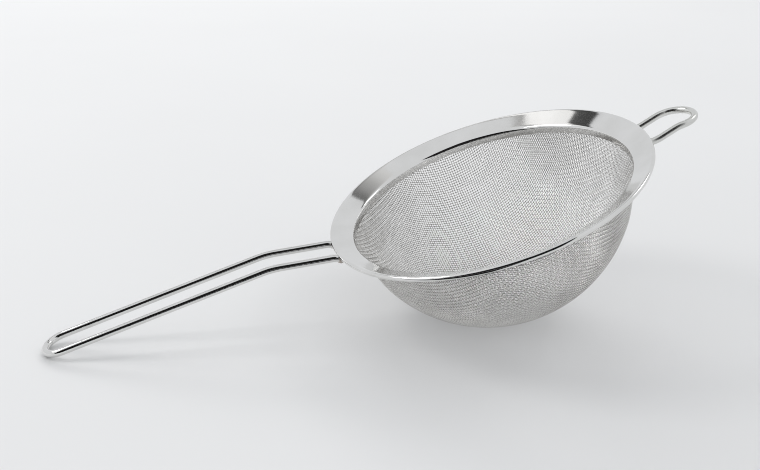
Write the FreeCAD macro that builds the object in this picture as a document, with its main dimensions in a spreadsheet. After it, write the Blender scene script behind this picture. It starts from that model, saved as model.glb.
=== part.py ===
import FreeCAD, Part
import itertools
import math
import os
import Sketcher

# Wire-mesh strainer, modelled about the rim: X runs from the handle (-X) to the rest loop (+X), Z is the
# bowl's axis and z = 0 is the plane of the rolled edge's centre.  The finished pieces are then tipped
# together into the way the strainer stands on a table, on its bowl and on the end of its handle.

SIZES = (
    # pressed rim: a rolled outer edge, a dished flange, a bend and a short lip inside the mouth
    ("rim_radius", 80.0),
    ("flange_width", 11.2),
    ("sheet_thick", 0.5),
    ("curl_radius", 1.15),
    ("curl_opening", 90.0),
    ("flange_slope", 25.0),
    ("bend_radius", 2.0),
    ("lip_depth", 7.4),
    # woven bowl: hem, wall, knuckle and crown
    ("mesh_thick", 0.72),
    ("hem_gap", 0.2),
    ("wall_draft", 19.0),
    ("wall_run", 18.4),
    ("knuckle_radius", 24.0),
    ("bowl_depth", 66.6),
    # ring that pinches the mesh's hem against the flange
    ("clamp_thick", 0.5),
    ("clamp_setback", 0.4),
    # handle: one bent wire
    ("handle_wire_radius", 1.75),
    ("handle_half_spacing", 8.45),
    ("handle_root_reach", 7.0),
    ("handle_bite", 0.5),
    ("handle_neck_reach", 1.0),
    ("handle_neck_rise", -0.15),
    ("handle_bend_reach", 30.5),
    ("handle_bend_rise", 7.2),
    ("handle_tip_reach", 140.2),
    ("handle_tip_rise", 9.2),
    ("handle_neck_radius", 9.0),
    ("handle_bend_radius", 45.0),
    # rest loop: a second bent wire opposite the handle
    ("loop_wire_radius", 1.75),
    ("loop_half_spacing", 10.0),
    ("loop_root_reach", 7.0),
    ("loop_bite", 0.4),
    ("loop_heel_reach", 4.0),
    ("loop_heel_drop", 6.9),
    ("loop_crest_reach", 16.5),
    ("loop_crest_drop", 4.4),
    ("loop_tip_reach", 29.2),
    ("loop_tip_drop", 4.9),
    ("loop_heel_radius", 16.0),
    ("loop_crest_radius", 20.0),
    # welds: how far each stands proud of its wire, and how far it sits from the rolled edge's centre
    ("weld_growth", 0.55),
    ("handle_weld_reach", 0.3),
    ("loop_weld_reach", 5.6),
)

# Worked out from the sizes above, as cells of the same sheet.  "reach" is measured from the rolled edge's
# centre inwards along the flange and "level" square to the flange, up from the rolled edge's centre.
DERIVED = (
    ("mouth_radius", "rim_radius - flange_width"),
    ("curl_centre", "rim_radius - curl_radius"),
    ("slope_sine", "sin(flange_slope * 1deg)"),
    ("slope_cosine", "cos(flange_slope * 1deg)"),
    ("hem_reach", "curl_radius + hem_gap"),
    ("bend_centre", "mouth_radius + bend_radius"),
    ("bend_level", "curl_radius - bend_radius"),
    ("bend_reach", "(curl_centre - slope_sine * bend_level - bend_centre) / slope_cosine"),
    ("hem_level", "curl_radius - sheet_thick"),
    ("clamp_level", "hem_level - mesh_thick"),
    ("under_level", "clamp_level - clamp_thick"),
    ("clamp_reach", "bend_reach - clamp_setback"),
)

XZ = "XZ_Plane"
MOST_OVERLAP = 0.05    # mm3 that two pieces may share before the build stops


def make_sheet(doc):
    sheet = doc.addObject("Spreadsheet::Sheet", "sizes")
    row = 0
    for name, value in SIZES:
        row += 1
        sheet.set(f"A{row}", name)
        sheet.set(f"B{row}", str(value))
        sheet.setAlias(f"B{row}", name)
    for name, formula in DERIVED:
        row += 1
        sheet.set(f"A{row}", name)
        sheet.setAlias(f"B{row}", name)
        sheet.set(f"B{row}", "=" + formula)
    doc.recompute()
    values = {name: float(sheet.get(name)) for name, _ in SIZES + DERIVED}
    return sheet, values


def cell_names(formula):
    """The formula with every size's name turned into a reference to the sheet."""
    names = sorted((name for name, _ in SIZES + DERIVED), key=len, reverse=True)
    for index, name in enumerate(names):
        formula = formula.replace(name, f"<<{index}>>")
    for index, name in enumerate(names):
        formula = formula.replace(f"<<{index}>>", f"sizes.{name}")
    return formula


def bind(obj, **formulas):
    """Tie properties of an object to the sheet: bind(cylinder, Radius="rim_radius")."""
    for prop, formula in formulas.items():
        obj.setExpression(prop.replace("__", "."), cell_names(formula))


def slope_point(size, reach, level):
    """A point of the rim's section from its reach along the flange and its level square to it."""
    x = size["curl_centre"] - size["slope_sine"] * level - size["slope_cosine"] * reach
    z = size["slope_cosine"] * level - size["slope_sine"] * reach
    return x, z


def slope_formulas(reach, level):
    """slope_point as a pair of formulas, for a sketch's constraints."""
    x = f"curl_centre - slope_sine * ({level}) - slope_cosine * ({reach})"
    z = f"slope_cosine * ({level}) - slope_sine * ({reach})"
    return x, z


class Outline:
    """A closed sketch outline drawn as a chain of lines and arcs, then dimensioned from the sheet."""

    def __init__(self, body, name):
        self.sketch = body.newObject("Sketcher::SketchObject", name)
        planes = {o.Role: o for o in body.Origin.OriginFeatures}
        self.sketch.AttachmentSupport = [(planes[XZ], "")]
        self.sketch.MapMode = "FlatFace"
        self.ends = []

    def line(self, start, end):
        geometry = Part.LineSegment(FreeCAD.Vector(*start, 0), FreeCAD.Vector(*end, 0))
        self.ends.append((1, 2))
        return self.sketch.addGeometry(geometry, False)

    def arc(self, centre, radius, start, end):
        """An arc from one direction to another, in degrees; start > end runs clockwise."""
        low, high = sorted((math.radians(start), math.radians(end)))
        circle = Part.Circle(FreeCAD.Vector(*centre, 0), FreeCAD.Vector(0, 0, 1), radius)
        self.ends.append((1, 2) if start < end else (2, 1))
        return self.sketch.addGeometry(Part.ArcOfCircle(circle, low, high), False)

    def join(self, first, second, smooth=True):
        kind = "Tangent" if smooth else "Coincident"
        self.add(kind, first, self.ends[first][1], second, self.ends[second][0])

    def add(self, kind, *values):
        return self.sketch.addConstraint(Sketcher.Constraint(kind, *values))

    def size(self, formula, kind, *values):
        """A dimension whose value follows a formula of the sheet."""
        index = self.add(kind, *values)
        self.sketch.setExpression(f"Constraints[{index}]", cell_names(formula))

    def pin(self, geometry, position, x_formula, z_formula, x, z):
        """Place one point of the outline from the sketch's origin."""
        self.size(x_formula, "DistanceX", -1, 1, geometry, position, x)
        self.size(z_formula, "DistanceY", -1, 1, geometry, position, z)


def revolved(doc, label, draw, size):
    """A body turned about Z from the outline that draw() makes."""
    body = doc.addObject("PartDesign::Body", label)
    body.Label = label
    outline = Outline(body, label + "_section")
    draw(outline, size)
    doc.recompute()
    turn = body.newObject("PartDesign::Revolution", label + "_turned")
    turn.Profile = outline.sketch
    turn.ReferenceAxis = (outline.sketch, ["V_Axis"])
    turn.Angle = 360
    outline.sketch.Visibility = False
    return body


def draw_rim(outline, size):
    """Section of the pressed rim: rolled edge, flange, bend and lip in one sheet thickness."""
    thick = size["sheet_thick"]
    curl, bend = size["curl_radius"], size["bend_radius"]
    centre = (size["curl_centre"], 0.0)
    top = 90.0 + size["flange_slope"]
    curl_end = top + size["curl_opening"]
    bend_centre = slope_point(size, size["bend_reach"], size["bend_level"])
    mouth, lip_z = size["mouth_radius"], -size["lip_depth"]

    roll_out = outline.arc(centre, curl, curl_end - 360.0, top)
    face = outline.line(slope_point(size, 0, curl), slope_point(size, size["bend_reach"], curl))
    bend_out = outline.arc(bend_centre, bend, top, 180.0)
    lip_in = outline.line((mouth, bend_centre[1]), (mouth, lip_z))
    lip_end = outline.line((mouth, lip_z), (mouth + thick, lip_z))
    lip_out = outline.line((mouth + thick, lip_z), (mouth + thick, bend_centre[1]))
    bend_in = outline.arc(bend_centre, bend - thick, 180.0, top)
    hem_level = size["hem_level"]
    under = outline.line(slope_point(size, size["bend_reach"], hem_level), slope_point(size, 0, hem_level))
    roll_in = outline.arc(centre, curl - thick, top, curl_end - 360.0)
    end_x, end_z = math.cos(math.radians(curl_end)), math.sin(math.radians(curl_end))
    inner_end = (centre[0] + (curl - thick) * end_x, (curl - thick) * end_z)
    outer_end = (centre[0] + curl * end_x, curl * end_z)
    roll_end = outline.line(inner_end, outer_end)

    for first, second in ((roll_out, face), (face, bend_out), (bend_out, lip_in)):
        outline.join(first, second)
    for first, second in ((lip_out, bend_in), (bend_in, under), (under, roll_in)):
        outline.join(first, second)
    for first, second in ((lip_in, lip_end), (lip_end, lip_out), (roll_in, roll_end), (roll_end, roll_out)):
        outline.join(first, second, smooth=False)
    outline.add("Coincident", roll_out, 3, roll_in, 3)
    outline.add("Coincident", bend_out, 3, bend_in, 3)
    outline.add("Vertical", lip_out)
    outline.add("Horizontal", lip_end)
    outline.add("PointOnObject", roll_in, 3, roll_end)
    outline.size("curl_radius", "Radius", roll_out, curl)
    outline.size("curl_radius - sheet_thick", "Radius", roll_in, curl - thick)
    outline.size("bend_radius", "Radius", bend_out, bend)
    outline.size("bend_radius - sheet_thick", "Radius", bend_in, bend - thick)
    outline.size("curl_centre", "DistanceX", -1, 1, roll_out, 3, centre[0])
    outline.add("PointOnObject", roll_out, 3, -1)
    outline.size("mouth_radius", "DistanceX", -1, 1, lip_in, 2, mouth)
    outline.size("-lip_depth", "DistanceY", -1, 1, lip_in, 2, lip_z)
    outline.add("Vertical", lip_in)
    outline.size("(flange_slope + 180) * 1deg", "Angle", face, math.radians(size["flange_slope"] + 180))
    end_formula = "(flange_slope + 90 + curl_opening) * 1deg"
    outline.size(end_formula, "Angle", roll_end, math.radians(curl_end))


def bowl_arcs(size, offset):
    """The bowl's knuckle centre, crown centre, crown radius and wall end, offset out from its inside.

    The crown arc is the one that is tangent to the knuckle and meets the axis at the bowl's depth.
    """
    draft = math.radians(size["wall_draft"])
    knuckle, depth, run = size["knuckle_radius"], size["bowl_depth"], size["wall_run"]
    start_x = size["mouth_radius"] + size["sheet_thick"]
    x = start_x - run * math.sin(draft) - knuckle * math.cos(draft)
    z = -size["lip_depth"] - run * math.cos(draft) + knuckle * math.sin(draft)
    crown = (x * x + (z + depth) ** 2 - knuckle ** 2) / (2 * (z + depth - knuckle))
    wall_x = x + (knuckle + offset) * math.cos(draft)
    wall_z = z - (knuckle + offset) * math.sin(draft)
    return (x, z), (0.0, crown - depth), crown + offset, (wall_x, wall_z)


def draw_basket(outline, size):
    """Section of the mesh bowl: hem under the flange, bend, lip, wall, knuckle and crown."""
    thick = size["mesh_thick"]
    top = 90.0 + size["flange_slope"]
    draft = size["wall_draft"]
    bend_centre = slope_point(size, size["bend_reach"], size["bend_level"])
    bend = size["bend_radius"] - size["sheet_thick"]
    lip_z = -size["lip_depth"]
    knuckle_centre, crown_centre, _, _ = bowl_arcs(size, 0)
    rise = knuckle_centre[1] - crown_centre[1]
    turn = math.degrees(math.atan2(rise, knuckle_centre[0] - crown_centre[0]))

    faces = []
    for offset in (0.0, thick):
        wall_x = size["mouth_radius"] + size["sheet_thick"] + offset
        kink_z = lip_z + offset * math.tan(math.radians(draft / 2))
        level = size["hem_level"] - offset
        _, _, crown, wall_end = bowl_arcs(size, offset)
        knuckle = size["knuckle_radius"] + offset
        hem = outline.line(slope_point(size, size["hem_reach"], level),
                           slope_point(size, size["bend_reach"], level))
        bent = outline.arc(bend_centre, bend - offset, top, 180.0)
        lip = outline.line((wall_x, bend_centre[1]), (wall_x, kink_z))
        wall = outline.line((wall_x, kink_z), wall_end)
        round_side = outline.arc(knuckle_centre, knuckle, -draft, turn)
        round_base = outline.arc(crown_centre, crown, turn, -90.0)
        for first, second in ((hem, bent), (bent, lip), (wall, round_side), (round_side, round_base)):
            outline.join(first, second)
        outline.join(lip, wall, smooth=False)
        outline.add("Vertical", lip)
        outline.add("PointOnObject", round_base, outline.ends[round_base][1], -2)
        faces.append((hem, bent, lip, wall, round_side, round_base))

    inner, outer = faces
    hem_end = outline.line(slope_point(size, size["hem_reach"], size["hem_level"] - thick),
                           slope_point(size, size["hem_reach"], size["hem_level"]))
    base_z = -size["bowl_depth"]
    base_end = outline.line((0.0, base_z), (0.0, base_z - thick))
    outline.add("Coincident", hem_end, 2, inner[0], 1)
    outline.add("Coincident", hem_end, 1, outer[0], 1)
    outline.add("Coincident", base_end, 1, inner[5], outline.ends[inner[5]][1])
    outline.add("Coincident", base_end, 2, outer[5], outline.ends[outer[5]][1])
    outline.add("Perpendicular", hem_end, inner[0])
    outline.add("PointOnObject", inner[5], 3, -2)
    outline.add("Parallel", inner[0], outer[0])
    outline.add("Parallel", inner[3], outer[3])
    for index in (1, 4, 5):
        outline.add("Coincident", inner[index], 3, outer[index], 3)

    outline.pin(inner[0], 1, *slope_formulas("hem_reach", "hem_level"),
                *slope_point(size, size["hem_reach"], size["hem_level"]))
    outline.size("(flange_slope + 180) * 1deg", "Angle", inner[0],
                 math.radians(size["flange_slope"] + 180))
    outline.size("bend_radius - sheet_thick", "Radius", inner[1], bend)
    outline.size("bend_radius - sheet_thick - mesh_thick", "Radius", outer[1], bend - thick)
    outline.size("mouth_radius + sheet_thick", "DistanceX", -1, 1, inner[2], 2,
                 size["mouth_radius"] + size["sheet_thick"])
    outline.size("-lip_depth", "DistanceY", -1, 1, inner[2], 2, lip_z)
    outline.size("(270 - wall_draft) * 1deg", "Angle", inner[3], math.radians(270 - draft))
    outline.size("wall_run", "Distance", inner[3], size["wall_run"])
    outline.size("knuckle_radius", "Radius", inner[4], size["knuckle_radius"])
    outline.size("knuckle_radius + mesh_thick", "Radius", outer[4], size["knuckle_radius"] + thick)
    outline.size("-bowl_depth", "DistanceY", -1, 1, base_end, 1, base_z)


def draw_clamp(outline, size):
    """Section of the clamp ring: a flat cone of sheet under the mesh's hem."""
    corners = (("hem_reach", "clamp_level"), ("clamp_reach", "clamp_level"),
               ("clamp_reach", "under_level"), ("hem_reach", "under_level"))
    points = [slope_point(size, size[reach], size[level]) for reach, level in corners]
    sides = [outline.line(points[i], points[(i + 1) % 4]) for i in range(4)]
    for i in range(4):
        outline.join(sides[i], sides[(i + 1) % 4], smooth=False)
        outline.pin(sides[i], 1, *slope_formulas(*corners[i]), *points[i])


def rounded_path(points, radii):
    """A wire through the points whose corners are tangent arcs of the given radii."""
    vectors = [FreeCAD.Vector(*p) for p in points]
    edges = []
    at = vectors[0]
    for corner, after, radius in zip(vectors[1:-1], vectors[2:], radii):
        back = (at - corner).normalize()
        ahead = (after - corner).normalize()
        half = back.getAngle(ahead) / 2
        cut = radius / math.tan(half)
        centre = corner + (back + ahead).normalize() * (radius / math.sin(half))
        first, last = corner + back * cut, corner + ahead * cut
        middle = centre + (corner - centre).normalize() * radius
        if (first - at).Length > 1e-6:
            edges.append(Part.LineSegment(at, first).toShape())
        edges.append(Part.Arc(first, middle, last).toShape())
        at = last
    edges.append(Part.LineSegment(at, vectors[-1]).toShape())
    return Part.Wire(edges)


def handle_profile(size):
    """Corners of the handle wire's side view: root under the flange, neck, bend and tip."""
    level = size["under_level"] - size["handle_wire_radius"] + size["handle_bite"]
    root_x, root_z = slope_point(size, size["handle_root_reach"], level)
    rim = size["rim_radius"]
    return [(-root_x, root_z),
            (-rim - size["handle_neck_reach"], size["handle_neck_rise"]),
            (-rim - size["handle_bend_reach"], size["handle_bend_rise"]),
            (-rim - size["handle_tip_reach"], size["handle_tip_rise"])]


def loop_profile(size):
    """Corners of the rest loop's side view: root under the flange, heel, crest and drooping tip."""
    root_x = size["curl_centre"] - size["loop_root_reach"]
    slope = size["slope_sine"] / size["slope_cosine"]
    under_z = size["under_level"] / size["slope_cosine"] - size["loop_root_reach"] * slope
    rim = size["rim_radius"]
    return [(root_x, under_z - size["loop_wire_radius"] + size["loop_bite"]),
            (rim + size["loop_heel_reach"], -size["loop_heel_drop"]),
            (rim + size["loop_crest_reach"], -size["loop_crest_drop"]),
            (rim + size["loop_tip_reach"], -size["loop_tip_drop"])]


def swept_wire(doc, kind, size, profile, radii):
    """A round wire bent to a hairpin: out along the profile at +Y, round the tip, back at -Y."""
    half = size[kind + "_half_spacing"]
    out = [(x, half, z) for x, z in profile]
    back = [(x, -half, z) for x, z in reversed(profile)]
    path = doc.addObject("Part::Feature", kind + "_path")
    path.Shape = rounded_path(out + back, radii + [half, half] + radii[::-1])
    section = doc.addObject("Part::Circle", kind + "_section")
    bind(section, Radius=kind + "_wire_radius")
    ahead = FreeCAD.Vector(*out[1]) - FreeCAD.Vector(*out[0])
    turn = FreeCAD.Rotation(FreeCAD.Vector(0, 0, 1), ahead)
    section.Placement = FreeCAD.Placement(FreeCAD.Vector(*out[0]), turn)
    sweep = doc.addObject("Part::Sweep", kind + "_swept")
    sweep.Sections = [section]
    sweep.Spine = (path, [f"Edge{i + 1}" for i in range(len(path.Shape.Edges))])
    sweep.Solid = True
    sweep.Frenet = False
    return sweep


def seat_tools(doc):
    """What the wires must stay clear of: the rolled edge and all that lies above the clamp ring."""
    roll = doc.addObject("Part::Torus", "seat_roll")
    bind(roll, Radius1="curl_centre", Radius2="curl_radius")
    low_x, low_z = slope_formulas("bend_reach", "under_level")
    high_x, high_z = slope_formulas("0", "under_level")
    cone = doc.addObject("Part::Cone", "seat_cone")
    bind(cone, Radius1=low_x, Radius2=high_x, Height=f"({high_z}) - ({low_z})",
         Placement__Base__z=low_z)
    core = doc.addObject("Part::Cylinder", "seat_core")
    bind(core, Radius="curl_centre", Height="rim_radius - mouth_radius", Placement__Base__z=high_z)
    return [roll, cone, core]


def cut(doc, label, base, *tools):
    """The base with each tool cut out of it in turn; the result carries the label."""
    shape = base
    for number, tool in enumerate(tools, 1):
        last = number == len(tools)
        result = doc.addObject("Part::Cut", label if last else f"{label}_cut{number}")
        result.Base = shape
        result.Tool = tool
        shape = result
    shape.Label = label
    return shape


def weld_ball(doc, kind, side, size, profile):
    """The ball of weld round one leg of a wire, before the wire and the rim are cut out of it."""
    x = abs(size["curl_centre"] - size[kind + "_weld_reach"])
    (x0, z0), (x1, z1) = profile[0], profile[1]
    share = (x - abs(x0)) / (abs(x1) - abs(x0))
    ball = doc.addObject("Part::Sphere", f"{kind}_weld_ball_{side}")
    bind(ball, Radius=f"{kind}_wire_radius + weld_growth")
    y = size[kind + "_half_spacing"] * (1 if side == "left" else -1)
    ball.Placement.Base = FreeCAD.Vector(math.copysign(x, x0), y, z0 + (z1 - z0) * share)
    return ball


def standing_pose(size):
    """Tip, lift and shift that put bowl and handle tip on z = 0 with the whole centred in plan."""
    knuckle_centre, crown_centre, crown, _ = bowl_arcs(size, size["mesh_thick"])
    knuckle = size["knuckle_radius"] + size["mesh_thick"]
    crown_tilt = math.atan2(knuckle_centre[0], crown_centre[1] - knuckle_centre[1])
    tip_x, tip_z = handle_profile(size)[-1]
    ear_x, ear_z = loop_profile(size)[-1]

    def height(x, z, tilt):
        return x * math.sin(tilt) + z * math.cos(tilt)

    def bowl_low(tilt):
        if tilt <= crown_tilt:
            return height(*crown_centre, tilt) - crown
        return height(-knuckle_centre[0], knuckle_centre[1], tilt) - knuckle

    def tip_low(tilt):
        return height(tip_x, tip_z, tilt) - size["handle_wire_radius"]

    low, high = 0.0, math.radians(60)
    for _ in range(60):
        tilt = (low + high) / 2
        if tip_low(tilt) > bowl_low(tilt):
            low = tilt
        else:
            high = tilt
    left = tip_x * math.cos(tilt) - tip_z * math.sin(tilt) - size["handle_wire_radius"]
    right = ear_x * math.cos(tilt) - ear_z * math.sin(tilt) + size["loop_wire_radius"]
    shift = FreeCAD.Vector(-(left + right) / 2, 0, -bowl_low(tilt))
    print(f"standing tilt {math.degrees(tilt):.2f} deg, lift {shift.z:.2f} mm, shift {shift.x:.2f} mm")
    return FreeCAD.Placement(shift, FreeCAD.Rotation(FreeCAD.Vector(0, 1, 0), -math.degrees(tilt)))


def build():
    doc = FreeCAD.newDocument("strainer")
    _, size = make_sheet(doc)
    parts = [revolved(doc, "rim", draw_rim, size),
             revolved(doc, "mesh_basket", draw_basket, size),
             revolved(doc, "clamp_ring", draw_clamp, size)]
    seat = seat_tools(doc)
    handle_radii = [size["handle_neck_radius"], size["handle_bend_radius"]]
    loop_radii = [size["loop_heel_radius"], size["loop_crest_radius"]]
    wires = (("handle", "handle_wire", handle_profile(size), handle_radii),
             ("loop", "rest_loop", loop_profile(size), loop_radii))
    for kind, label, profile, radii in wires:
        sweep = swept_wire(doc, kind, size, profile, radii)
        parts.append(cut(doc, label, sweep, *seat))
        for side in ("left", "right"):
            ball = weld_ball(doc, kind, side, size, profile)
            parts.append(cut(doc, f"{kind}_weld_{side}", ball, sweep, *seat))
    doc.recompute()
    pose = standing_pose(size)
    for part in parts:
        part.Placement = pose
    doc.recompute()
    return doc, parts


def check(doc, parts):
    """Stop on any failed object, open or empty shape, sub-part of more than one solid, or overlap."""
    for obj in doc.Objects:
        if "Invalid" in obj.State or "Error" in obj.State:
            raise RuntimeError(f"{obj.Name} failed: {obj.State}")
        if obj.isDerivedFrom("Sketcher::SketchObject") and not obj.FullyConstrained:
            raise RuntimeError(f"{obj.Name} is not fully constrained")
    for part in parts:
        shape = part.Shape
        if shape.isNull() or not shape.isValid() or len(shape.Solids) != 1:
            raise RuntimeError(f"{part.Label}: bad shape with {len(shape.Solids)} solids")
    for first, second in itertools.combinations(parts, 2):
        shared = first.Shape.common(second.Shape).Volume
        if shared > MOST_OVERLAP:
            raise RuntimeError(f"{first.Label} and {second.Label} overlap by {shared:.2f} mm3")


def main():
    doc, parts = build()
    check(doc, parts)
    os.makedirs("parts", exist_ok=True)
    for part in parts:
        part.Shape.exportStep(f"parts/{part.Label}.step")
        box = part.Shape.BoundBox
        print(f"{part.Label}: {part.Shape.Volume:.1f} mm3, x {box.XMin:.2f} to {box.XMax:.2f}, "
              f"y {box.YMin:.2f} to {box.YMax:.2f}, z {box.ZMin:.2f} to {box.ZMax:.2f}")


main()
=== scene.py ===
"""Wire-mesh strainer resting on a pale floor: polished rim, woven basket, long wire handle and rest loop.

Lengths in the tables below are millimetres in the rim's own frame (rim plane level, z = 0 at the centre
of the rolled edge).  pose() turns them into metres in the row frame, where the strainer stands tipped.
"""
import math

import bpy
import numpy as np
from mathutils import Matrix, Vector


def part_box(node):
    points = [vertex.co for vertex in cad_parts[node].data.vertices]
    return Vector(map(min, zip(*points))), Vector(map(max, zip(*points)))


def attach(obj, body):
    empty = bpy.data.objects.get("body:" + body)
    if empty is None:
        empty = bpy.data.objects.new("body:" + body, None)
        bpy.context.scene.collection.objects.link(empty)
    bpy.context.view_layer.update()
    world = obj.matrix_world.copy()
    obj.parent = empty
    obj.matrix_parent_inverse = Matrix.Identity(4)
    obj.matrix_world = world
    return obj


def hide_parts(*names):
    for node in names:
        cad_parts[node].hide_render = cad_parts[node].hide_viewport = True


MM = 0.001

# Rim: one sheet with a rolled edge, a sloping flange and a short upright lip round the mouth.
CURL_RADIUS = 1.15
CURL_OPENING = 90.0
FLANGE_SLOPE = math.radians(25.0)
MOUTH_RADIUS = 68.8
BEND_RADIUS = 2.0
LIP_DEPTH = 7.4
SHEET = 0.5

# Basket of woven wire, its hem held under the flange by the clamp ring.
CLOTH = 0.72
HEM_GAP = 0.2
WALL_DRAFT = math.radians(19.0)
WALL_RUN = 18.4
KNUCKLE_RADIUS = 24.0
BOWL_DEPTH = 66.6
PITCH = 80.0 / 62.0
CLAMP_SHEET = 0.5
CLAMP_SETBACK = 0.4

# Handle and rest loop: hairpins of round wire.
WIRE_RADIUS = 1.75
HANDLE_HALF_SPACING = 8.45
HANDLE_BITE = 0.5
HANDLE_ROOT_REACH = 7.0
HANDLE_CORNERS = ((1.0, -0.15), (30.5, 7.2), (140.2, 9.2))
HANDLE_CORNER_RADII = (9.0, 45.0)
LOOP_HALF_SPACING = 10.0
LOOP_BITE = 0.4
LOOP_ROOT_REACH = 7.0
LOOP_CORNERS = ((4.0, -6.9), (16.5, -4.4), (29.2, -4.9))
LOOP_CORNER_RADII = (16.0, 20.0)
HANDLE_WELD_REACH = 0.3
LOOP_WELD_REACH = 5.6
WELD_GROWTH = 0.55

# How finely the pieces are meshed, and how their UV maps (which run along the sheet or wire) are scaled.
RIM_TURNS = 480
CLAMP_TURNS = 360
ROD_SIDES = 40
ROD_SPACING = 0.8
ROD_END_EASE = 0.35
CLAMP_EDGE_EASE = 0.12
SHARP_FROM = math.radians(40.0)
UV_PER_MM = 0.01

# Draping the cloth: how often each crossing is refined, the misfit allowed and the margin left at the hem.
DRAPE_ROUNDS = 12
DRAPE_MISFIT = 0.02
HEM_MARGIN = 0.05

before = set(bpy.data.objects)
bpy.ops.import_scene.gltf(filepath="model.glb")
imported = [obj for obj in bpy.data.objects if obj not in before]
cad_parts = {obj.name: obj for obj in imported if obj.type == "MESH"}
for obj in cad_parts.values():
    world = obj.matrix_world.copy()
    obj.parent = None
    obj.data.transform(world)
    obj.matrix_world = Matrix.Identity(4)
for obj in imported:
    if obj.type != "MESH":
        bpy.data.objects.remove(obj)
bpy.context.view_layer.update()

# The rim node's box gives the rim's radius, its tilt about Y and where its centre stands.
rim_low, rim_high = (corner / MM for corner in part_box("rim"))
RIM_RADIUS = (rim_high.y - rim_low.y) / 2
CURL_CENTRE = RIM_RADIUS - CURL_RADIUS
TILT = math.acos(((rim_high.x - rim_low.x) / 2 - CURL_RADIUS) / CURL_CENTRE)
RIM_CENTRE = Vector(((rim_low.x + rim_high.x) / 2, 0.0,
                     rim_high.z - CURL_CENTRE * math.sin(TILT) - CURL_RADIUS))


def pose(points):
    """Rim-frame millimetres as row-frame metres."""
    x, y, z = np.asarray(points, float).reshape(-1, 3).T
    cosine, sine = math.cos(TILT), math.sin(TILT)
    turned = np.stack((x * cosine - z * sine, y, x * sine + z * cosine), axis=1)
    return (turned + np.array(RIM_CENTRE)) * MM


def slope_point(reach, level):
    """Section point from its reach inwards along the flange and its level square to it."""
    sine, cosine = math.sin(FLANGE_SLOPE), math.cos(FLANGE_SLOPE)
    return (CURL_CENTRE - sine * level - cosine * reach, cosine * level - sine * reach)


BEND_CENTRE = MOUTH_RADIUS + BEND_RADIUS
BEND_LEVEL = CURL_RADIUS - BEND_RADIUS
BEND_REACH = ((CURL_CENTRE - math.sin(FLANGE_SLOPE) * BEND_LEVEL - BEND_CENTRE)
              / math.cos(FLANGE_SLOPE))
HEM_REACH = CURL_RADIUS + HEM_GAP
HEM_LEVEL = CURL_RADIUS - SHEET
CLAMP_LEVEL = HEM_LEVEL - CLOTH
UNDER_LEVEL = CLAMP_LEVEL - CLAMP_SHEET


# ---------------------------------------------------------------- mesh building

def mesh_object(name, points, faces, uv=None):
    """A smooth mesh from rim-frame points and faces, which are arrays of equal-sided faces."""
    mesh = bpy.data.meshes.new(name)
    corners = np.concatenate([np.asarray(part, np.int32).ravel() for part in faces])
    counts = np.concatenate([np.full(len(part), np.asarray(part).shape[1]) for part in faces])
    mesh.vertices.add(len(points))
    mesh.vertices.foreach_set("co", pose(points).astype(np.float32).ravel())
    mesh.loops.add(len(corners))
    mesh.loops.foreach_set("vertex_index", corners)
    mesh.polygons.add(len(counts))
    starts = np.concatenate(([0], np.cumsum(counts)[:-1])).astype(np.int32)
    mesh.polygons.foreach_set("loop_start", starts)
    mesh.update(calc_edges=True)
    mesh.shade_smooth()
    if uv is not None:
        layer = mesh.uv_layers.new(name="along")
        layer.uv.foreach_set("vector", np.asarray(uv, np.float32).ravel())
    obj = bpy.data.objects.new(name, mesh)
    bpy.context.scene.collection.objects.link(obj)
    return obj


def finish_piece(obj, material, node):
    """Dress a piece, tie it to the body and hide the CAD node that it stands for."""
    obj.data.materials.append(material)
    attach(obj, "root")
    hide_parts(node)


def arc(centre, radius, start, stop, count):
    """Points along an arc in the (radius, height) plane, from start to stop in radians."""
    angles = np.linspace(start, stop, count)
    return [(centre[0] + radius * math.cos(a), centre[1] + radius * math.sin(a)) for a in angles]


def lathe(name, section, turns):
    """A closed section of (radius, height) points turned round the rim's axis."""
    section = np.array(section)
    count = len(section)
    angles = np.linspace(0, 2 * math.pi, turns, endpoint=False)
    radius, height = section[:, 0], section[:, 1]
    points = np.stack((np.outer(np.cos(angles), radius), np.outer(np.sin(angles), radius),
                       np.tile(height, (turns, 1))), axis=2).reshape(-1, 3)
    turn, step = np.meshgrid(np.arange(turns), np.arange(count), indexing="ij")
    next_turn, next_step = (turn + 1) % turns, (step + 1) % count
    faces = np.stack((turn * count + step, next_turn * count + step,
                      next_turn * count + next_step, turn * count + next_step), axis=2)
    lengths = np.linalg.norm(np.roll(section, -1, axis=0) - section, axis=1)
    across = np.concatenate(([0], np.cumsum(lengths)))
    stride = 2 * math.pi * RIM_RADIUS / turns
    around = turn * stride
    uv = np.stack((np.stack((around, across[step]), axis=2),
                   np.stack((around + stride, across[step]), axis=2),
                   np.stack((around + stride, across[step + 1]), axis=2),
                   np.stack((around, across[step + 1]), axis=2)), axis=2)
    obj = mesh_object(name, points, [faces.reshape(-1, 4)], uv * UV_PER_MM)
    obj.data.set_sharp_from_angle(angle=SHARP_FROM)
    return obj


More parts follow.
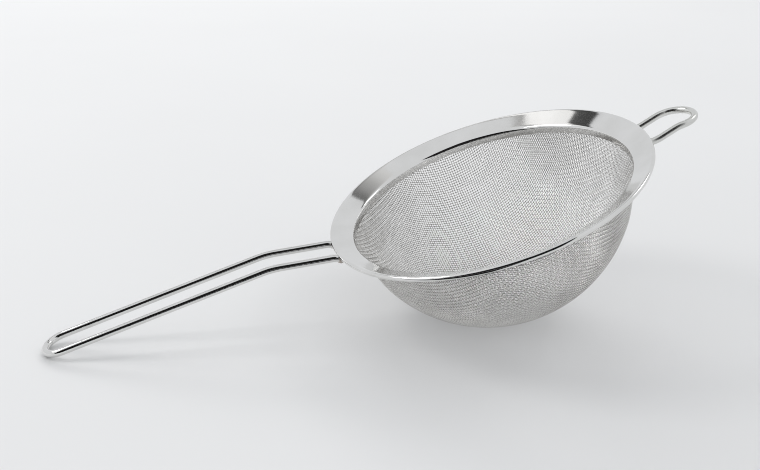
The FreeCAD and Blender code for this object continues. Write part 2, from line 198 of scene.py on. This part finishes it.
def tube(path, sides, radius, up):
    """Ring points and faces of a round wire along a path; up is a vector or one per point."""
    path = np.asarray(path, float)
    ahead = np.gradient(path, axis=0)
    ahead /= np.linalg.norm(ahead, axis=1)[:, None]
    side = np.cross(ahead, np.broadcast_to(up, path.shape))
    side /= np.linalg.norm(side, axis=1)[:, None]
    above = np.cross(side, ahead)
    angles = np.arange(sides) * (2 * math.pi / sides)
    radius = np.broadcast_to(radius, (len(path),))[:, None, None]
    ring = (np.cos(angles)[None, :, None] * above[:, None] + np.sin(angles)[None, :, None]
            * side[:, None]) * radius
    points = (path[:, None] + ring).reshape(-1, 3)
    step, turn = np.meshgrid(np.arange(len(path) - 1), np.arange(sides), indexing="ij")
    next_turn = (turn + 1) % sides
    quads = np.stack((step * sides + turn, step * sides + next_turn,
                      (step + 1) * sides + next_turn, (step + 1) * sides + turn), axis=2)
    caps = np.stack((np.arange(sides)[::-1], (len(path) - 1) * sides + np.arange(sides)))
    return points, quads.reshape(-1, 4), caps


# ---------------------------------------------------------------- the rim and the clamp ring

def rim_section():
    """Closed outline of the rim's sheet: down the outside of the lip, up its inside and round the roll."""
    facing = math.pi / 2 + FLANGE_SLOPE
    roll_end = facing + math.radians(CURL_OPENING) - 2 * math.pi
    bend = slope_point(BEND_REACH, BEND_LEVEL)
    edge = SHEET / 2
    roll_edge = (CURL_CENTRE + (CURL_RADIUS - edge) * math.cos(roll_end),
                 (CURL_RADIUS - edge) * math.sin(roll_end))
    points = arc((CURL_CENTRE, 0), CURL_RADIUS, roll_end, facing, 40)
    flange_start, flange_end = slope_point(0, CURL_RADIUS), slope_point(BEND_REACH, CURL_RADIUS)
    for share in np.linspace(0, 1, 10)[1:-1]:
        points.append(tuple(np.array(flange_start) * (1 - share) + np.array(flange_end) * share))
    points += arc(bend, BEND_RADIUS, facing, math.pi, 12)
    points += arc((MOUTH_RADIUS + edge, -LIP_DEPTH + edge), edge, math.pi, 2 * math.pi, 7)
    points += arc(bend, BEND_RADIUS - SHEET, math.pi, facing, 10)
    points += arc((CURL_CENTRE, 0), CURL_RADIUS - SHEET, facing, roll_end, 30)
    points += arc(roll_edge, edge, roll_end - math.pi, roll_end - 2 * math.pi, 7)[1:-1]
    return points


def clamp_section():
    """Flat cone of sheet under the hem, its edges eased."""
    ease = CLAMP_EDGE_EASE
    outer, inner = HEM_REACH, BEND_REACH - CLAMP_SETBACK
    return [slope_point(*corner) for corner in (
        (outer + ease, CLAMP_LEVEL), (inner - ease, CLAMP_LEVEL), (inner, CLAMP_LEVEL - ease),
        (inner, UNDER_LEVEL + ease), (inner - ease, UNDER_LEVEL), (outer + ease, UNDER_LEVEL),
        (outer, UNDER_LEVEL + ease), (outer, CLAMP_LEVEL - ease))]


# ---------------------------------------------------------------- the woven basket

def bowl_line(step=0.1):
    """The cloth's middle surface as points (radius, height), from the bottom of the bowl to the hem."""
    half = CLOTH / 2
    top = np.array((MOUTH_RADIUS + SHEET, -LIP_DEPTH))
    down = np.array((-math.sin(WALL_DRAFT), -math.cos(WALL_DRAFT)))
    inwards = np.array((-math.cos(WALL_DRAFT), math.sin(WALL_DRAFT)))
    knuckle = top + down * WALL_RUN + inwards * KNUCKLE_RADIUS
    rise = knuckle[1] + BOWL_DEPTH
    crown = ((rise ** 2 + knuckle[0] ** 2 - KNUCKLE_RADIUS ** 2) / (2 * (rise - KNUCKLE_RADIUS)))
    crown_height = crown - BOWL_DEPTH
    meet = math.atan2(knuckle[1] - crown_height, knuckle[0])
    line = arc((0, crown_height), crown + half, -math.pi / 2, meet, 400)
    line += arc(knuckle, KNUCKLE_RADIUS + half, meet, -WALL_DRAFT, 200)
    line.append((MOUTH_RADIUS + SHEET + half, -LIP_DEPTH))
    bend = slope_point(BEND_REACH, BEND_LEVEL)
    line += arc(bend, BEND_RADIUS - SHEET - half, math.pi, math.pi / 2 + FLANGE_SLOPE, 40)
    line.append(slope_point(HEM_REACH + 0.2, HEM_LEVEL - half))
    line = np.array(line)
    reach = np.concatenate(([0], np.cumsum(np.linalg.norm(np.diff(line, axis=0), axis=1))))
    even = np.arange(0, reach[-1], step)
    return even, np.interp(even, reach, line[:, 0]), np.interp(even, reach, line[:, 1])


class Bowl:
    """The cloth's surface, by arc length from the pole and angle round the axis."""

    def __init__(self):
        self.reach, self.radius, self.height = bowl_line()
        self.end = self.reach[-1]
        self.radius_rate = np.gradient(self.radius, self.reach)
        self.height_rate = np.gradient(self.height, self.reach)

    def at(self, reach, angle):
        radius = np.interp(reach, self.reach, self.radius)
        height = np.interp(reach, self.reach, self.height)
        return np.stack((radius * np.cos(angle), radius * np.sin(angle), height), axis=-1)

    def rates(self, reach, angle):
        out = np.interp(reach, self.reach, self.radius_rate)
        up = np.interp(reach, self.reach, self.height_rate)
        radius = np.interp(reach, self.reach, self.radius)
        cosine, sine = np.cos(angle), np.sin(angle)
        along = np.stack((out * cosine, out * sine, up), axis=-1)
        round_axis = np.stack((-radius * sine, radius * cosine, np.zeros_like(radius)), axis=-1)
        return along, round_axis

    def outward(self, reach, angle):
        out = np.interp(reach, self.reach, self.radius_rate)
        up = np.interp(reach, self.reach, self.height_rate)
        length = np.hypot(out, up)
        return np.stack((up * np.cos(angle), up * np.sin(angle), -out), axis=-1) / length[..., None]


def drape(bowl):
    """Crossings of the two sets of wires over a quarter of the bowl.

    Cloth bends and shears but doesn't stretch, so every crossing is one pitch from the last along both
    wires.  Each is found by Newton's method from its two neighbours nearer the pole."""
    count = int(bowl.end / PITCH) + 2
    reach = np.full((count, count), np.nan)
    angle = np.full((count, count), np.nan)
    reach[:, 0] = reach[0, :] = np.arange(count) * PITCH
    angle[:, 0] = 0.0
    angle[0, :] = math.pi / 2
    for diagonal in range(2, 2 * count - 1):
        i = np.arange(max(1, diagonal - count + 1), min(diagonal, count))
        j = diagonal - i
        first, second, corner = (i - 1, j), (i, j - 1), (i - 1, j - 1)
        a, b = bowl.at(reach[first], angle[first]), bowl.at(reach[second], angle[second])
        guess = a + b - bowl.at(reach[corner], angle[corner])
        s = reach[first] + reach[second] - reach[corner]
        phi = np.arctan2(guess[:, 1], guess[:, 0])
        for _ in range(DRAPE_ROUNDS):
            here = bowl.at(s, phi)
            along, round_axis = bowl.rates(s, phi)
            miss_a = ((here - a) ** 2).sum(1) - PITCH ** 2
            miss_b = ((here - b) ** 2).sum(1) - PITCH ** 2
            as_, ap = 2 * ((here - a) * along).sum(1), 2 * ((here - a) * round_axis).sum(1)
            bs, bp = 2 * ((here - b) * along).sum(1), 2 * ((here - b) * round_axis).sum(1)
            det = as_ * bp - ap * bs
            det = np.where(np.abs(det) < 1e-9, np.nan, det)
            s = s - np.clip((miss_a * bp - miss_b * ap) / det, -0.5, 0.5)
            phi = phi - np.clip((as_ * miss_b - bs * miss_a) / det, -0.05, 0.05)
        good = (np.abs(miss_a) + np.abs(miss_b) < DRAPE_MISFIT) & (s < bowl.end - HEM_MARGIN)
        reach[i, j] = np.where(good, s, np.nan)
        angle[i, j] = np.where(good, phi, np.nan)
    reach[reach > bowl.end - HEM_MARGIN] = np.nan
    return reach, angle


def full_net(bowl):
    """The quarter net mirrored to the whole bowl: crossing points and outward normals."""
    reach, angle = drape(bowl)
    reach = np.concatenate((reach[:0:-1], reach))
    angle = np.concatenate((math.pi - angle[:0:-1], angle))
    reach = np.concatenate((reach[:, :0:-1], reach), axis=1)
    angle = np.concatenate((-angle[:, :0:-1], angle), axis=1)
    middle = len(reach) // 2
    points = bowl.at(reach, angle)
    points[middle, middle] = (0, 0, bowl.height[0])
    normals = bowl.outward(reach, angle)
    return points, normals


CLOTH_WIRE_RADIUS = CLOTH / 4
CLOTH_WIRE_SIDES = 6
STEPS_PER_CROSSING = 3


def woven_wire(points, normals, first_side):
    """One wire through its crossings, passing over and under by turns."""
    count = len(points)
    at = np.arange((count - 1) * STEPS_PER_CROSSING + 1) / STEPS_PER_CROSSING
    cell = np.arange(count)
    path = np.stack([np.interp(at, cell, points[:, k]) for k in range(3)], axis=1)
    up = np.stack([np.interp(at, cell, normals[:, k]) for k in range(3)], axis=1)
    swing = np.cos(math.pi * at) * CLOTH_WIRE_RADIUS * first_side
    return tube(path + up * swing[:, None], CLOTH_WIRE_SIDES, CLOTH_WIRE_RADIUS, up)


def weave(crossings, normals, bands):
    """Wires of one set, grouped into bands so that no piece is too heavy."""
    lines = []
    for row in range(len(crossings)):
        kept = np.flatnonzero(~np.isnan(crossings[row, :, 0]))
        if len(kept) < 3:
            continue
        span = slice(kept[0], kept[-1] + 1)
        side = 1 if (row + kept[0]) % 2 else -1
        lines.append((crossings[row, span], normals[row, span], side))
    weights = np.cumsum([len(line[0]) for line in lines])
    for band in range(bands):
        low, high = weights[-1] * band / bands, weights[-1] * (band + 1) / bands
        chosen = [line for line, weight in zip(lines, weights) if low < weight <= high]
        all_points, quads, caps, base = [], [], [], 0
        for line, normal, side in chosen:
            points, faces, ends = woven_wire(line, normal, side)
            all_points.append(points)
            quads.append(faces + base)
            caps.append(ends + base)
            base += len(points)
        yield np.concatenate(all_points), np.concatenate(quads), np.concatenate(caps)


# ---------------------------------------------------------------- handle and rest loop

def rounded_path(points, radii, spacing):
    """Points along a polyline whose corners are tangent arcs of the given radii."""
    points = [Vector(p) for p in points]
    path = [points[0]]
    for corner, after, radius in zip(points[1:-1], points[2:], radii):
        back, ahead = (path[-1] - corner).normalized(), (after - corner).normalized()
        half = back.angle(ahead) / 2
        cut = radius / math.tan(half)
        centre = corner + (back + ahead).normalized() * (radius / math.sin(half))
        start, stop = corner + back * cut - centre, corner + ahead * cut - centre
        sweep = start.angle(stop)
        axis = start.cross(stop).normalized()
        add_line(path, centre + start, spacing)
        steps = max(6, math.ceil(radius * sweep / spacing))
        for k in range(1, steps + 1):
            path.append(centre + Matrix.Rotation(sweep * k / steps, 3, axis) @ start)
    add_line(path, points[-1], spacing)
    return np.array(path)


def add_line(path, stop, spacing):
    start = path[-1].copy()
    length = (stop - start).length
    if length < 1e-4:
        return
    steps = max(1, math.ceil(length / spacing))
    path.extend(start.lerp(stop, k / steps) for k in range(1, steps + 1))


def hairpin(name, profile, radii, half_spacing):
    """A wire bent to a hairpin: out along the profile at +Y, round the tip and back at -Y."""
    out = [(x, half_spacing, z) for x, z in profile]
    back = [(x, -half_spacing, z) for x, z in reversed(profile)]
    radii = [*radii, half_spacing, half_spacing, *radii[::-1]]
    path = rounded_path(out + back, radii, ROD_SPACING)
    starts, stops = path[1] - path[0], path[-1] - path[-2]
    starts, stops = starts / np.linalg.norm(starts), stops / np.linalg.norm(stops)
    path = np.concatenate(([path[0]], [path[0] + starts * ROD_END_EASE], path[1:-1],
                           [path[-1] - stops * ROD_END_EASE], [path[-1]]))
    radius = np.full(len(path), WIRE_RADIUS)
    radius[[0, -1]] = WIRE_RADIUS - ROD_END_EASE
    points, quads, caps = tube(path, ROD_SIDES, radius, (0.0, 0.0, 1.0))
    lengths = np.concatenate(([0], np.cumsum(np.linalg.norm(np.diff(path, axis=0), axis=1))))
    step, turn = np.meshgrid(np.arange(len(path) - 1), np.arange(ROD_SIDES), indexing="ij")
    near, far = lengths[step], lengths[step + 1]
    stride = 2 * math.pi * WIRE_RADIUS / ROD_SIDES
    low, high = turn * stride, (turn + 1) * stride
    quad_uv = np.stack((near, low, near, high, far, high, far, low), axis=2).reshape(-1, 2)
    uv = np.concatenate((quad_uv, np.zeros((caps.size, 2)))) * UV_PER_MM
    return mesh_object(name, points, [quads, caps], uv)


def handle_profile():
    root_x, root_z = slope_point(HANDLE_ROOT_REACH, UNDER_LEVEL - WIRE_RADIUS + HANDLE_BITE)
    return [(-root_x, root_z)] + [(-RIM_RADIUS - reach, rise) for reach, rise in HANDLE_CORNERS]


def loop_profile():
    root_x = CURL_CENTRE - LOOP_ROOT_REACH
    under = UNDER_LEVEL / math.cos(FLANGE_SLOPE) - LOOP_ROOT_REACH * math.tan(FLANGE_SLOPE)
    return [(root_x, under - WIRE_RADIUS + LOOP_BITE)] + [(RIM_RADIUS + reach, rise)
                                                          for reach, rise in LOOP_CORNERS]


def weld(name, profile, reach, half_spacing, side):
    """A small uneven bead of weld round one leg of a wire, where it meets the rim."""
    x = CURL_CENTRE - reach
    (x0, z0), (x1, z1) = profile[0], profile[1]
    share = (x - abs(x0)) / (abs(x1) - abs(x0))
    centre = np.array((math.copysign(x, x0), half_spacing * side, z0 + (z1 - z0) * share))
    rows, columns = 20, 32
    lean = np.linspace(0, math.pi, rows)[1:-1, None]
    turn = np.linspace(0, 2 * math.pi, columns, endpoint=False)[None, :]
    ripple = 1 - 0.04 * (1 + np.sin(9 * lean)) - 0.03 * (1 + np.sin(3 * turn + 2 * side))
    radius = (WIRE_RADIUS + WELD_GROWTH) * ripple
    body = np.stack((np.cos(lean) * radius, np.sin(lean) * np.cos(turn) * radius,
                     np.sin(lean) * np.sin(turn) * radius), axis=2).reshape(-1, 3)
    ends = np.array(((radius[0].mean(), 0, 0), (-radius[-1].mean(), 0, 0)))
    points = np.concatenate((body, ends)) + centre
    row, column = np.meshgrid(np.arange(rows - 3), np.arange(columns), indexing="ij")
    beside = (column + 1) % columns
    quads = np.stack((row * columns + column, (row + 1) * columns + column,
                      (row + 1) * columns + beside, row * columns + beside), axis=2).reshape(-1, 4)
    spin = np.arange(columns)
    first, last, tail = len(body), len(body) + 1, (rows - 3) * columns
    caps = np.concatenate((np.stack((np.full(columns, first), spin, (spin + 1) % columns), axis=1),
                           np.stack((np.full(columns, last), tail + (spin + 1) % columns,
                                     tail + spin), axis=1)))
    return mesh_object(name, points, [quads, caps])


# ---------------------------------------------------------------- materials

class Nodes:
    """Short calls for wiring a material's nodes."""

    def __init__(self, name):
        self.material = bpy.data.materials.new(name)
        self.material.use_nodes = True
        self.tree = self.material.node_tree
        self.shader = self.tree.nodes["Principled BSDF"]

    def add(self, kind, **values):
        node = self.tree.nodes.new(kind)
        for key, value in values.items():
            if key in node.inputs:
                node.inputs[key].default_value = value
            else:
                setattr(node, key, value)
        return node

    def link(self, source, target):
        self.tree.links.new(source, target)

    def noise(self, vector, scale, stretch=(1, 1, 1), detail=3.0, roughness=0.5):
        """Noise over a vector, squeezed by stretch so that it draws out into lines or blotches."""
        mapping = self.add("ShaderNodeMapping")
        mapping.inputs["Scale"].default_value = stretch
        self.link(vector, mapping.inputs["Vector"])
        noise = self.add("ShaderNodeTexNoise", Scale=scale, Detail=detail, Roughness=roughness)
        self.link(mapping.outputs["Vector"], noise.inputs["Vector"])
        return noise.outputs["Fac"]

    def ramp(self, value, stops):
        """Values between two stops: each stop is a place and a number or colour."""
        ramp = self.add("ShaderNodeValToRGB")
        for element, (place, level) in zip(ramp.color_ramp.elements, stops):
            element.position = place
            colour = (level,) * 3 if isinstance(level, (int, float)) else level
            element.color = (*colour, 1.0)
        self.link(value, ramp.inputs["Fac"])
        return ramp.outputs["Color"]

    def bump(self, height, strength, distance, below=None):
        bump = self.add("ShaderNodeBump", Strength=strength, Distance=distance)
        self.link(height, bump.inputs["Height"])
        if below is not None:
            self.link(below, bump.inputs["Normal"])
        return bump.outputs["Normal"]


def steel(name, darks, lights, roughness, lines, line_depth, dents, tint_scale=60.0, use_uv=True):
    """Stainless steel: cloudy tone, uneven polish, fine lines along the UV map and faint dents.

    roughness is (low, high); lines is how many times finer the noise is across the lines than along."""
    nodes = Nodes(name)
    shader = nodes.shader
    shader.inputs["Metallic"].default_value = 1.0
    place = nodes.add("ShaderNodeTexCoord")
    body = place.outputs["Object"]
    along = place.outputs["UV"] if use_uv else body
    cloud = nodes.noise(body, tint_scale, detail=4.0)
    nodes.link(nodes.ramp(cloud, ((0.3, darks), (0.7, lights))), shader.inputs["Base Color"])
    polish = nodes.noise(along, 25.0, (1.0, lines, 1.0), detail=4.0, roughness=0.6)
    nodes.link(nodes.ramp(polish, ((0.25, roughness[0]), (0.8, roughness[1]))),
               shader.inputs["Roughness"])
    fine = nodes.noise(along, 60.0, (1.0, lines * 2, 1.0), detail=2.0)
    ripple = nodes.noise(body, 45.0, detail=1.0)
    normal = nodes.bump(ripple, 1.0, dents)
    nodes.link(nodes.bump(fine, 1.0, line_depth, normal), shader.inputs["Normal"])
    return nodes.material


sheet_steel = steel("polished_sheet_steel", (0.75, 0.745, 0.73), (0.82, 0.815, 0.805), (0.035, 0.1),
                    24.0, 0.0000012, 0.00012)
clamp_steel = steel("pressed_sheet_steel", (0.56, 0.555, 0.54), (0.66, 0.655, 0.64), (0.16, 0.3),
                    24.0, 0.000002, 0.0002)
rod_steel = steel("drawn_wire_steel", (0.68, 0.68, 0.665), (0.78, 0.775, 0.765), (0.04, 0.1),
                  18.0, 0.000002, 0.00006)
loop_steel = steel("satin_wire_steel", (0.66, 0.66, 0.635), (0.76, 0.76, 0.74), (0.18, 0.3),
                   18.0, 0.000002, 0.00006)
cloth_steel = steel("woven_wire_steel", (0.68, 0.67, 0.65), (0.8, 0.79, 0.775), (0.16, 0.26),
                    1.0, 0.000002, 0.00002, tint_scale=90.0, use_uv=False)
weld_steel = steel("weld_steel", (0.36, 0.3, 0.25), (0.62, 0.6, 0.58), (0.25, 0.45),
                   1.0, 0.00002, 0.0001, tint_scale=500.0, use_uv=False)


# ---------------------------------------------------------------- the pieces

finish_piece(lathe("rim_sheet", rim_section(), RIM_TURNS), sheet_steel, "rim")
finish_piece(lathe("hem_clamp", clamp_section(), CLAMP_TURNS), clamp_steel,
             "clamp_ring")

bowl = Bowl()
net_points, net_normals = full_net(bowl)
BANDS = 5
for family, turned in (("warp", False), ("weft", True)):
    family_points = net_points.swapaxes(0, 1) if turned else net_points
    family_normals = net_normals.swapaxes(0, 1) if turned else net_normals
    sign = -1 if turned else 1
    for number, (points, quads, caps) in enumerate(weave(family_points, family_normals * sign, BANDS)):
        cloth = mesh_object(f"basket_{family}_{number + 1}", points, [quads, caps])
        finish_piece(cloth, cloth_steel, "mesh_basket")

finish_piece(hairpin("handle_rod", handle_profile(), HANDLE_CORNER_RADII, HANDLE_HALF_SPACING),
             rod_steel, "handle_wire")
finish_piece(hairpin("rest_loop_rod", loop_profile(), LOOP_CORNER_RADII, LOOP_HALF_SPACING),
             loop_steel, "rest_loop")
for side_name, side in (("left", 1), ("right", -1)):
    bead = weld(f"handle_bead_{side_name}", handle_profile(), HANDLE_WELD_REACH,
                HANDLE_HALF_SPACING, side)
    finish_piece(bead, weld_steel, f"handle_weld_{side_name}")
    bead = weld(f"loop_bead_{side_name}", loop_profile(), LOOP_WELD_REACH, LOOP_HALF_SPACING, side)
    finish_piece(bead, weld_steel, f"loop_weld_{side_name}")


# ---------------------------------------------------------------- floor, light and camera

AROUND_POINT = Vector((0.05, 0.0, 0.06))
CARD_AWAY = 1.5
CARD_STEPS = 24


def stage_mesh(name, points, faces, material):
    mesh = bpy.data.meshes.new(name)
    mesh.from_pydata(points, [], faces)
    mesh.materials.append(material)
    obj = bpy.data.objects.new(name, mesh)
    bpy.context.scene.collection.objects.link(obj)
    return obj


def towards(turn, lift, away=CARD_AWAY):
    """A point round the strainer: turn from +X about Z and lift above the horizon, in degrees."""
    turn, lift = math.radians(turn), math.radians(lift)
    return AROUND_POINT + away * Vector((math.cos(lift) * math.cos(turn),
                                         math.cos(lift) * math.sin(turn), math.sin(lift)))


def reflected_only(obj):
    """Let only reflections see a stage piece, so that it shapes the steel's look and nothing else."""
    obj.visible_camera = obj.visible_diffuse = obj.visible_shadow = False
    obj.visible_transmission = False
    return obj


def curved_card(name, turns, lifts, material, level_at=None):
    """A piece of a sphere round the strainer, between two turns and two lifts above the horizon.

    With level_at the card is a straight beam seen from below: its lifts hold at that turn and sink to
    either side of it.  The attribute "tone" runs from 0 at its lower edge to 1 at its upper."""
    steps = CARD_STEPS
    points, tones = [], []
    for i in range(steps + 1):
        turn = turns[0] + (turns[1] - turns[0]) * i / steps
        for j in range(steps + 1):
            lift = lifts[0] + (lifts[1] - lifts[0]) * j / steps
            if level_at is not None:
                sink = math.cos(math.radians(turn - level_at))
                lift = math.degrees(math.atan(math.tan(math.radians(lift)) * sink))
            points.append(towards(turn, lift))
            tones.append(j / steps)
    faces = [(k, k + 1, k + steps + 2, k + steps + 1)
             for i in range(steps) for k in range(i * (steps + 1), i * (steps + 1) + steps)]
    obj = reflected_only(stage_mesh(name, points, faces, material))
    tone = obj.data.attributes.new("tone", "FLOAT", "POINT")
    tone.data.foreach_set("value", tones)
    return obj


def floor_material():
    nodes = Nodes("floor_paper")
    place = nodes.add("ShaderNodeTexCoord").outputs["Object"]
    cloud = nodes.noise(place, 3.0)
    nodes.link(nodes.ramp(cloud, ((0.3, 0.745), (0.7, 0.76))), nodes.shader.inputs["Base Color"])
    nodes.shader.inputs["Roughness"].default_value = 0.9
    nodes.shader.inputs["Specular IOR Level"].default_value = 0.0
    return nodes.material


def card_material(name, dark, light):
    """A glowing card, from one brightness at its lower edge to another at its upper."""
    nodes = Nodes(name)
    nodes.tree.nodes.remove(nodes.shader)
    tone = nodes.add("ShaderNodeAttribute", attribute_name="tone").outputs["Fac"]
    glow = nodes.add("ShaderNodeEmission")
    nodes.link(nodes.ramp(tone, ((0.0, dark), (1.0, light))), glow.inputs["Color"])
    nodes.link(glow.outputs["Emission"], nodes.tree.nodes["Material Output"].inputs["Surface"])
    return nodes.material


def one_sided_black():
    """Black from above and clear from below."""
    nodes = Nodes("black_from_above")
    shader = nodes.shader
    shader.inputs["Base Color"].default_value = (0.012, 0.012, 0.012, 1)
    shader.inputs["Roughness"].default_value = 1.0
    shader.inputs["Specular IOR Level"].default_value = 0.0
    side = nodes.add("ShaderNodeNewGeometry").outputs["Backfacing"]
    clear, mix = nodes.add("ShaderNodeBsdfTransparent"), nodes.add("ShaderNodeMixShader")
    nodes.link(side, mix.inputs[0])
    nodes.link(shader.outputs["BSDF"], mix.inputs[1])
    nodes.link(clear.outputs["BSDF"], mix.inputs[2])
    nodes.link(mix.outputs["Shader"], nodes.tree.nodes["Material Output"].inputs["Surface"])
    return nodes.material


def sheet_on_floor(name, x, y, height, material):
    return stage_mesh(name, [(x[0], y[0], height), (x[1], y[0], height), (x[1], y[1], height),
                             (x[0], y[1], height)], [(0, 1, 2, 3)], material)


FLOOR = 6.0
DARK_GROUND_X = (-1.6, 0.035)
DARK_GROUND_Y = (-1.6, -0.095)
DARK_GROUND_LIFT = 0.0005
BACKDROP_SQUARE_TO = 75.0
sheet_on_floor("floor", (-FLOOR, FLOOR), (-FLOOR, FLOOR), 0.0, floor_material())

# Cards that only reflections see give the polished steel its dark and bright lines: the dark room on the
# camera's side, the dark ground in front of the strainer, and the gap between the backdrop and the bright
# ceiling.  Each card's turns, lifts and tones run from its first edge to its second.
curved_card("dark_room", (-152, -70), (0, 73), card_material("room_dark", 0.012, 0.02))
reflected_only(sheet_on_floor("dark_ground", DARK_GROUND_X, DARK_GROUND_Y, DARK_GROUND_LIFT,
                              one_sided_black()))
curved_card("gap_dark", (35, 108), (50.1, 55.5), card_material("gap_dark", 0.12, 0.4),
            BACKDROP_SQUARE_TO)
curved_card("gap_fade", (35, 108), (55.5, 63.0), card_material("gap_fade", 0.4, 0.76),
            BACKDROP_SQUARE_TO)
curved_card("gap_black", (108, 132), (47.5, 56.0), card_material("gap_black", 0.05, 0.1),
            BACKDROP_SQUARE_TO)
curved_card("gap_glow", (110, 143), (56.0, 68.5), card_material("gap_glow", 1.05, 1.15),
            BACKDROP_SQUARE_TO)
curved_card("gap_edge", (112, 143), (68.5, 70.5), card_material("gap_edge", 0.3, 0.6),
            BACKDROP_SQUARE_TO)


def softbox(name, turn, lift, width, height, radiance, away=CARD_AWAY, reflected=True):
    """A rectangular light aimed at the strainer; radiance is how bright its face looks.

    With reflected off it lights the scene but shows in no reflection."""
    light = bpy.data.lights.new(name, "AREA")
    light.shape = "RECTANGLE"
    light.size, light.size_y = width, height
    light.energy = radiance * math.pi * width * height
    obj = bpy.data.objects.new(name, light)
    obj.location = towards(turn, lift, away)
    obj.rotation_euler = (AROUND_POINT - obj.location).to_track_quat("-Z", "Y").to_euler()
    obj.visible_glossy = reflected
    bpy.context.scene.collection.objects.link(obj)


softbox("lamp_left", 164, 40, 0.5, 0.5, 5.5)
softbox("lamp_right", 16, 47, 0.5, 0.35, 2.2)
softbox("lamp_back", 88, 32, 1.6, 0.6, 4.2, 2.2, reflected=False)

world = bpy.data.worlds.new("studio")
world.use_nodes = True
world.node_tree.nodes["Background"].inputs["Color"].default_value = (0.965, 0.98, 1.0, 1)
world.node_tree.nodes["Background"].inputs["Strength"].default_value = 0.8
bpy.context.scene.world = world
bpy.context.scene.view_settings.view_transform = "Standard"
bpy.context.scene.cycles.filter_width = 1.0

# The camera looks down at the strainer from beside the handle.
PITCH_DOWN = math.radians(22.681)
ROLL = math.radians(1.241)
TURN = math.radians(14.205)
LENS = 49.48
RIM_FROM_CAMERA = (51.57, -23.33, 503.5)

right = Vector((math.cos(TURN), -math.sin(TURN), 0))
level = Vector((math.sin(TURN), math.cos(TURN), 0))
up = Vector((0, 0, 1))
ahead = level * math.cos(PITCH_DOWN) - up * math.sin(PITCH_DOWN)
above = level * math.sin(PITCH_DOWN) + up * math.cos(PITCH_DOWN)
camera_x = right * math.cos(ROLL) + above * math.sin(ROLL)
camera_y = above * math.cos(ROLL) - right * math.sin(ROLL)
spot = (RIM_CENTRE - camera_x * RIM_FROM_CAMERA[0] + camera_y * RIM_FROM_CAMERA[1]
        - ahead * RIM_FROM_CAMERA[2]) * MM
camera_data = bpy.data.cameras.new("camera")
camera_data.lens = LENS
camera_data.clip_start = 0.01
camera = bpy.data.objects.new("camera", camera_data)
camera.matrix_world = Matrix((
    (camera_x.x, camera_y.x, -ahead.x, spot.x),
    (camera_x.y, camera_y.y, -ahead.y, spot.y),
    (camera_x.z, camera_y.z, -ahead.z, spot.z),
    (0, 0, 0, 1)))
bpy.context.scene.collection.objects.link(camera)
bpy.context.scene.camera = camera
